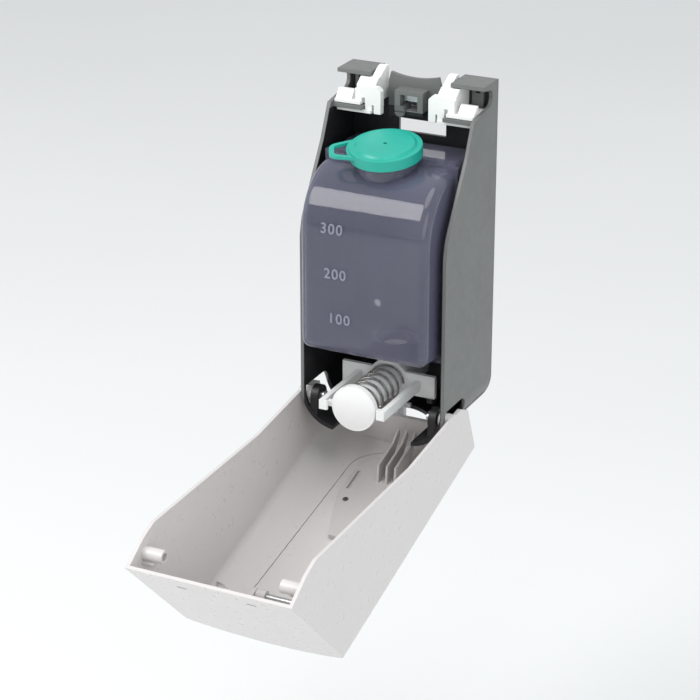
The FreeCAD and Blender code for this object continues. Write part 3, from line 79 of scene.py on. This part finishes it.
def moulded(name, colour, rough=0.38, change=0.05, grain=0.25, soft=0.35, coat=0.0, gloss=0.5, haze=0.0):
    """Moulded plastic: faint mottling, fine grain, softened edges and slightly uneven gloss."""
    material = bpy.data.materials.new(name)
    material.use_nodes = True
    tree = material.node_tree
    shader = tree.nodes["Principled BSDF"]
    place = add(tree, "ShaderNodeTexCoord").outputs["Object"]
    cloud = add(tree, "ShaderNodeTexNoise", Scale=38.0, Detail=4.0, Roughness=0.55)
    fine = add(tree, "ShaderNodeTexNoise", Scale=1500.0, Detail=2.0, Roughness=0.6)
    scuff = add(tree, "ShaderNodeTexNoise", Scale=210.0, Detail=6.0, Roughness=0.7)
    for node in (cloud, fine, scuff):
        tree.links.new(place, node.inputs["Vector"])
    dark = tuple(part * (1 - change) for part in colour)
    light = tuple(min(1.0, part * (1 + change)) for part in colour)
    tone = mixed(tree, ramped(tree, cloud.outputs["Fac"], 0.35, 0.65), dark, light)
    worn = ramped(tree, scuff.outputs["Fac"], 0.60, 0.78, 0.0, 0.35 * change * 4)
    faded = tuple(min(1.0, part * 1.12 + 0.02) for part in colour)
    tree.links.new(mixed(tree, worn, tone, faded), shader.inputs["Base Color"])
    tree.links.new(ramped(tree, scuff.outputs["Fac"], 0.3, 0.75, rough * 0.85, min(1.0, rough * 1.2)),
                   shader.inputs["Roughness"])
    bevel = add(tree, "ShaderNodeBevel", samples=4)
    bevel.inputs["Radius"].default_value = soft * MM
    bump = add(tree, "ShaderNodeBump", Strength=grain, Distance=0.00006)
    tree.links.new(fine.outputs["Fac"], bump.inputs["Height"])
    tree.links.new(bevel.outputs["Normal"], bump.inputs["Normal"])
    tree.links.new(bump.outputs["Normal"], shader.inputs["Normal"])
    shader.inputs["Specular IOR Level"].default_value = gloss
    shader.inputs["Coat Weight"].default_value = coat
    shader.inputs["Coat Roughness"].default_value = 0.12
    shader.inputs["Subsurface Weight"].default_value = haze
    shader.inputs["Subsurface Radius"].default_value = (0.004, 0.004, 0.004)
    return material


def painted_shade_inside(material, colour):
    """The same material with painted shade: near black on the housing's inner faces."""
    tree = material.node_tree
    shader = tree.nodes["Principled BSDF"]
    outside = shader.inputs["Base Color"].links[0].from_socket
    place = add(tree, "ShaderNodeTexCoord").outputs["Object"]
    split = add(tree, "ShaderNodeSeparateXYZ")
    tree.links.new(place, split.inputs["Vector"])
    side = add(tree, "ShaderNodeMath", operation="ABSOLUTE")
    tree.links.new(split.outputs["X"], side.inputs[0])
    painted_shade_mask = None
    limits = (
        (side.outputs[0], INNER_SIDE),
        (split.outputs["Y"], INNER_BACK),
        (split.outputs["Z"], INNER_TOP),
    )
    for socket, limit in limits:
        test = add(tree, "ShaderNodeMath", operation="LESS_THAN")
        tree.links.new(socket, test.inputs[0])
        test.inputs[1].default_value = limit
        if painted_shade_mask is None:
            painted_shade_mask = test.outputs[0]
            continue
        both = add(tree, "ShaderNodeMath", operation="MULTIPLY")
        tree.links.new(painted_shade_mask, both.inputs[0])
        tree.links.new(test.outputs[0], both.inputs[1])
        painted_shade_mask = both.outputs[0]
    # painted shade: near black in place of the base colour inside these limits
    tree.links.new(mixed(tree, painted_shade_mask, outside, colour), shader.inputs["Base Color"])
    return material


def clear(name, colour, face, edge, rough=0.08, ripple=0.3):
    """Clear moulded plastic: thin, tinted, denser towards its outline, with slow ripples and a painted sheen
    that turns the colour paler towards its outline.
    """
    material = bpy.data.materials.new(name)
    material.use_nodes = True
    tree = material.node_tree
    shader = tree.nodes["Principled BSDF"]
    place = add(tree, "ShaderNodeTexCoord").outputs["Object"]
    slow = add(tree, "ShaderNodeTexNoise", Scale=26.0, Detail=2.0)
    fine = add(tree, "ShaderNodeTexNoise", Scale=320.0, Detail=3.0)
    for node in (slow, fine):
        tree.links.new(place, node.inputs["Vector"])
    facing = add(tree, "ShaderNodeLayerWeight", Blend=0.45).outputs["Facing"]
    alpha = ramped(tree, facing, 0.10, 0.85, face, edge)
    tree.links.new(alpha, shader.inputs["Alpha"])
    # painted sheen: the colour turns paler towards the outline, where the surface faces away from the view
    pale = tuple(min(1.0, part * 1.35 + 0.03) for part in colour)
    body = mixed(tree, ramped(tree, slow.outputs["Fac"], 0.35, 0.68), colour,
                 tuple(min(1.0, part * 1.12) for part in colour))
    tree.links.new(mixed(tree, ramped(tree, facing, 0.55, 0.95), body, pale), shader.inputs["Base Color"])
    tree.links.new(ramped(tree, fine.outputs["Fac"], 0.3, 0.8, rough * 0.7, rough * 1.6),
                   shader.inputs["Roughness"])
    bump = add(tree, "ShaderNodeBump", Strength=ripple, Distance=0.0006)
    tree.links.new(slow.outputs["Fac"], bump.inputs["Height"])
    tree.links.new(bump.outputs["Normal"], shader.inputs["Normal"])
    shader.inputs["Specular IOR Level"].default_value = 0.8
    shader.inputs["Coat Weight"].default_value = 0.6
    shader.inputs["Coat Roughness"].default_value = 0.05
    return material


def metal(name, colour, rough, grain_scale=(60, 60, 900)):
    """Drawn or rolled steel with fine lines along one direction and slight stains."""
    material = bpy.data.materials.new(name)
    material.use_nodes = True
    tree = material.node_tree
    shader = tree.nodes["Principled BSDF"]
    place = add(tree, "ShaderNodeTexCoord").outputs["Object"]
    stretch = add(tree, "ShaderNodeMapping", Scale=grain_scale)
    tree.links.new(place, stretch.inputs["Vector"])
    lines = add(tree, "ShaderNodeTexNoise", Scale=1.0, Detail=5.0)
    tree.links.new(stretch.outputs["Vector"], lines.inputs["Vector"])
    stain = add(tree, "ShaderNodeTexNoise", Scale=90.0, Detail=3.0)
    tree.links.new(place, stain.inputs["Vector"])
    dull = tuple(part * 0.72 for part in colour)
    tree.links.new(mixed(tree, ramped(tree, stain.outputs["Fac"], 0.35, 0.7), dull, colour),
                   shader.inputs["Base Color"])
    tree.links.new(ramped(tree, lines.outputs["Fac"], 0.3, 0.7, rough * 0.7, rough * 1.4),
                   shader.inputs["Roughness"])
    bump = add(tree, "ShaderNodeBump", Strength=0.15, Distance=0.00004)
    tree.links.new(lines.outputs["Fac"], bump.inputs["Height"])
    tree.links.new(bump.outputs["Normal"], shader.inputs["Normal"])
    shader.inputs["Metallic"].default_value = 1.0
    return material


SLATE = (0.150, 0.158, 0.154)
PAINTED_SHADE_BLACK = (0.011, 0.011, 0.013)
# the housing gets painted shade, near black, on its inner faces
HOUSING = painted_shade_inside(moulded("housing_slate", SLATE, rough=0.46, change=0.04, grain=0.35), PAINTED_SHADE_BLACK)
COVER = moulded("cover_offwhite", (0.66, 0.635, 0.63), rough=0.30, change=0.008, grain=0.08, haze=0.06)
PRESS = moulded("press_plate_grey", (0.55, 0.525, 0.52), rough=0.36, change=0.012, grain=0.1, haze=0.04)
LATCH = moulded("latch_white", (0.84, 0.845, 0.83), rough=0.30, change=0.015, grain=0.15, haze=0.1)
PUMP = moulded("pump_white", (0.86, 0.875, 0.87), rough=0.25, change=0.015, grain=0.12, haze=0.12)
BUTTON = moulded("button_white", (0.88, 0.885, 0.88), rough=0.22, change=0.01, grain=0.08, haze=0.12)
TEAL = moulded("cap_teal", (0.012, 0.40, 0.315), rough=0.34, change=0.06, grain=0.25, haze=0.06)
RUBBER = moulded("gasket_rubber", (0.45, 0.45, 0.44), rough=0.7, change=0.08, grain=0.6)
SCREW = moulded("screw_grey", (0.12, 0.125, 0.125), rough=0.4, change=0.05, grain=0.3)
BOTTLE = clear("bottle_violet", (0.135, 0.138, 0.205), face=0.34, edge=0.78, ripple=0.08)
OUTLET = clear("outlet_violet", (0.30, 0.31, 0.44), face=0.42, edge=0.85, ripple=0.1)
NOZZLE = clear("nozzle_frost", (0.80, 0.82, 0.82), face=0.70, edge=0.95, rough=0.25)
STEEL = metal("steel_bright", (0.62, 0.63, 0.64), 0.28)
SPRING = metal("spring_wire", (0.30, 0.29, 0.28), 0.25, grain_scale=(300, 300, 300))

LOOKS = {
    "housing": HOUSING, "wall_hook": STEEL, "hook_screw": SCREW, "latch_left": LATCH, "latch_right": LATCH,
    "cover": COVER, "push_panel": COVER, "panel_pin": STEEL, "press_plate": PRESS, "plate_screw": STEEL,
    "hinge_pin_left": STEEL, "hinge_pin_right": STEEL, "bottle_front": BOTTLE, "bottle_rear": BOTTLE,
    "bottle_outlet": OUTLET, "cap": TEAL, "cap_gasket": RUBBER, "pump_body": PUMP, "inlet_ball": STEEL,
    "nozzle": NOZZLE, "plunger": PUMP, "piston_seal": RUBBER, "push_button": BUTTON,
    "return_spring": SPRING, "socket_seal": RUBBER,
}
for name, material in LOOKS.items():
    mesh = NODES[name].data
    if not mesh.materials:
        mesh.materials.append(material)
    for index in range(len(mesh.materials)):
        mesh.materials[index] = material


# ------------------------------------------------------------ scale on the bottle

MARK_SIZE = 7.4         # height of the type, and how it stands out, in millimetres
MARK_RAISE = 0.22
MARK_EDGE = 0.08
MARK_SPACING = 1.15

def bottle_mark(name, text, x, y, drop, tilt):
    """A raised number on the bottle's front, tilted back to follow its curve."""
    letters = bpy.data.curves.new(name, "FONT")
    letters.body = text
    letters.size = MARK_SIZE * MM
    letters.extrude = MARK_RAISE * MM
    letters.bevel_depth = MARK_EDGE * MM
    letters.space_character = MARK_SPACING
    letters.align_x = "LEFT"
    letters.align_y = "CENTER"
    letters.materials.append(MARKS)
    piece = bpy.data.objects.new(name, letters)
    bpy.context.scene.collection.objects.link(piece)
    piece.location = (x * MM, y * MM, TOP - drop * MM)
    piece.rotation_euler = Euler((math.radians(90 - tilt), 0, 0))
    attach(piece, "base")
    return piece


MARKS = clear("bottle_marks", (0.34, 0.35, 0.45), face=0.55, edge=0.9, rough=0.15)
# each number's left end along X, its drop below the top and its place along Y, all in millimetres,
# and its tilt in degrees
MARK_PLACES = (
    ("300", -22.5, 64.7, -71.80, 5.4),
    ("200", -20.5, 88.0, -72.05, 0.0),
    ("100", -18.3, 111.4, -72.05, 0.0),
)
for text, x, drop, y, tilt in MARK_PLACES:
    bottle_mark("mark_" + text, text, x, y, drop, tilt)


# ------------------------------------------------------------ floor, light, camera

FLOOR_REACH = 12.0      # metres
FLOOR_LEVEL = -0.30


def make_floor():
    """A plain pale floor under the dispenser."""
    mesh = bpy.data.meshes.new("floor")
    reach = FLOOR_REACH
    level = FLOOR_LEVEL
    corners = [(-reach, -reach, level), (reach, -reach, level), (reach, reach, level), (-reach, reach, level)]
    mesh.from_pydata(corners, [], [(0, 1, 2, 3)])
    floor = bpy.data.objects.new("floor", mesh)
    bpy.context.scene.collection.objects.link(floor)
    material = bpy.data.materials.new("floor_pale")
    material.use_nodes = True
    tree = material.node_tree
    shader = tree.nodes["Principled BSDF"]
    noise = add(tree, "ShaderNodeTexNoise", Scale=1.6, Detail=3.0)
    tree.links.new(add(tree, "ShaderNodeTexCoord").outputs["Object"], noise.inputs["Vector"])
    tone = mixed(tree, ramped(tree, noise.outputs["Fac"], 0.3, 0.7), (0.79, 0.80, 0.80), (0.82, 0.83, 0.83))
    tree.links.new(tone, shader.inputs["Base Color"])
    shader.inputs["Roughness"].default_value = 0.9
    mesh.materials.append(material)


def area_light(name, place, target, size, power, colour):
    """A round soft light that faces the target."""
    data = bpy.data.lights.new(name, "AREA")
    data.shape = "DISK"
    data.size = size
    data.energy = power
    data.color = colour
    light = bpy.data.objects.new(name, data)
    bpy.context.scene.collection.objects.link(light)
    light.location = place
    light.rotation_euler = (Vector(target) - Vector(place)).to_track_quat("-Z", "Y").to_euler()


make_floor()
MIDDLE = (0, -0.09, -0.02)
# each light's place and width in metres, its power in watts and its colour
LIGHTS = (
    ("key", (-0.95, -1.15, 1.25), 1.1, 17, (1.0, 0.985, 0.97)),
    ("top", (0.15, -0.35, 1.6), 1.3, 10, (1.0, 1.0, 1.0)),
    ("fill", (1.4, -1.1, 0.5), 1.4, 7, (0.96, 0.98, 1.0)),
)
for name, place, width, power, colour in LIGHTS:
    area_light(name, place, MIDDLE, width, power, colour)

world = bpy.data.worlds.new("pale_room")
world.use_nodes = True
background = world.node_tree.nodes["Background"]
background.inputs["Color"].default_value = (0.86, 0.88, 0.89, 1)
background.inputs["Strength"].default_value = 0.80
bpy.context.scene.world = world
bpy.context.scene.view_settings.view_transform = "Standard"

LENS = 121.02           # focal length in millimetres
SENSOR = 36.0           # the sensor's width in millimetres
FAR = 60.0              # metres
CAMERA_PLACE = (0.4710, -1.0354, TOP + 0.3302)
LOOK_DOWN = 23.014      # degrees below level
LOOK_TURN = 26.346      # degrees round from straight at the wall

camera_data = bpy.data.cameras.new("camera")
camera_data.lens = LENS
camera_data.sensor_width = SENSOR
camera_data.clip_end = FAR
camera = bpy.data.objects.new("camera", camera_data)
camera.location = CAMERA_PLACE
camera.rotation_euler = Euler((math.radians(90 - LOOK_DOWN), 0, math.radians(LOOK_TURN)))
bpy.context.scene.collection.objects.link(camera)
bpy.context.scene.camera = camera
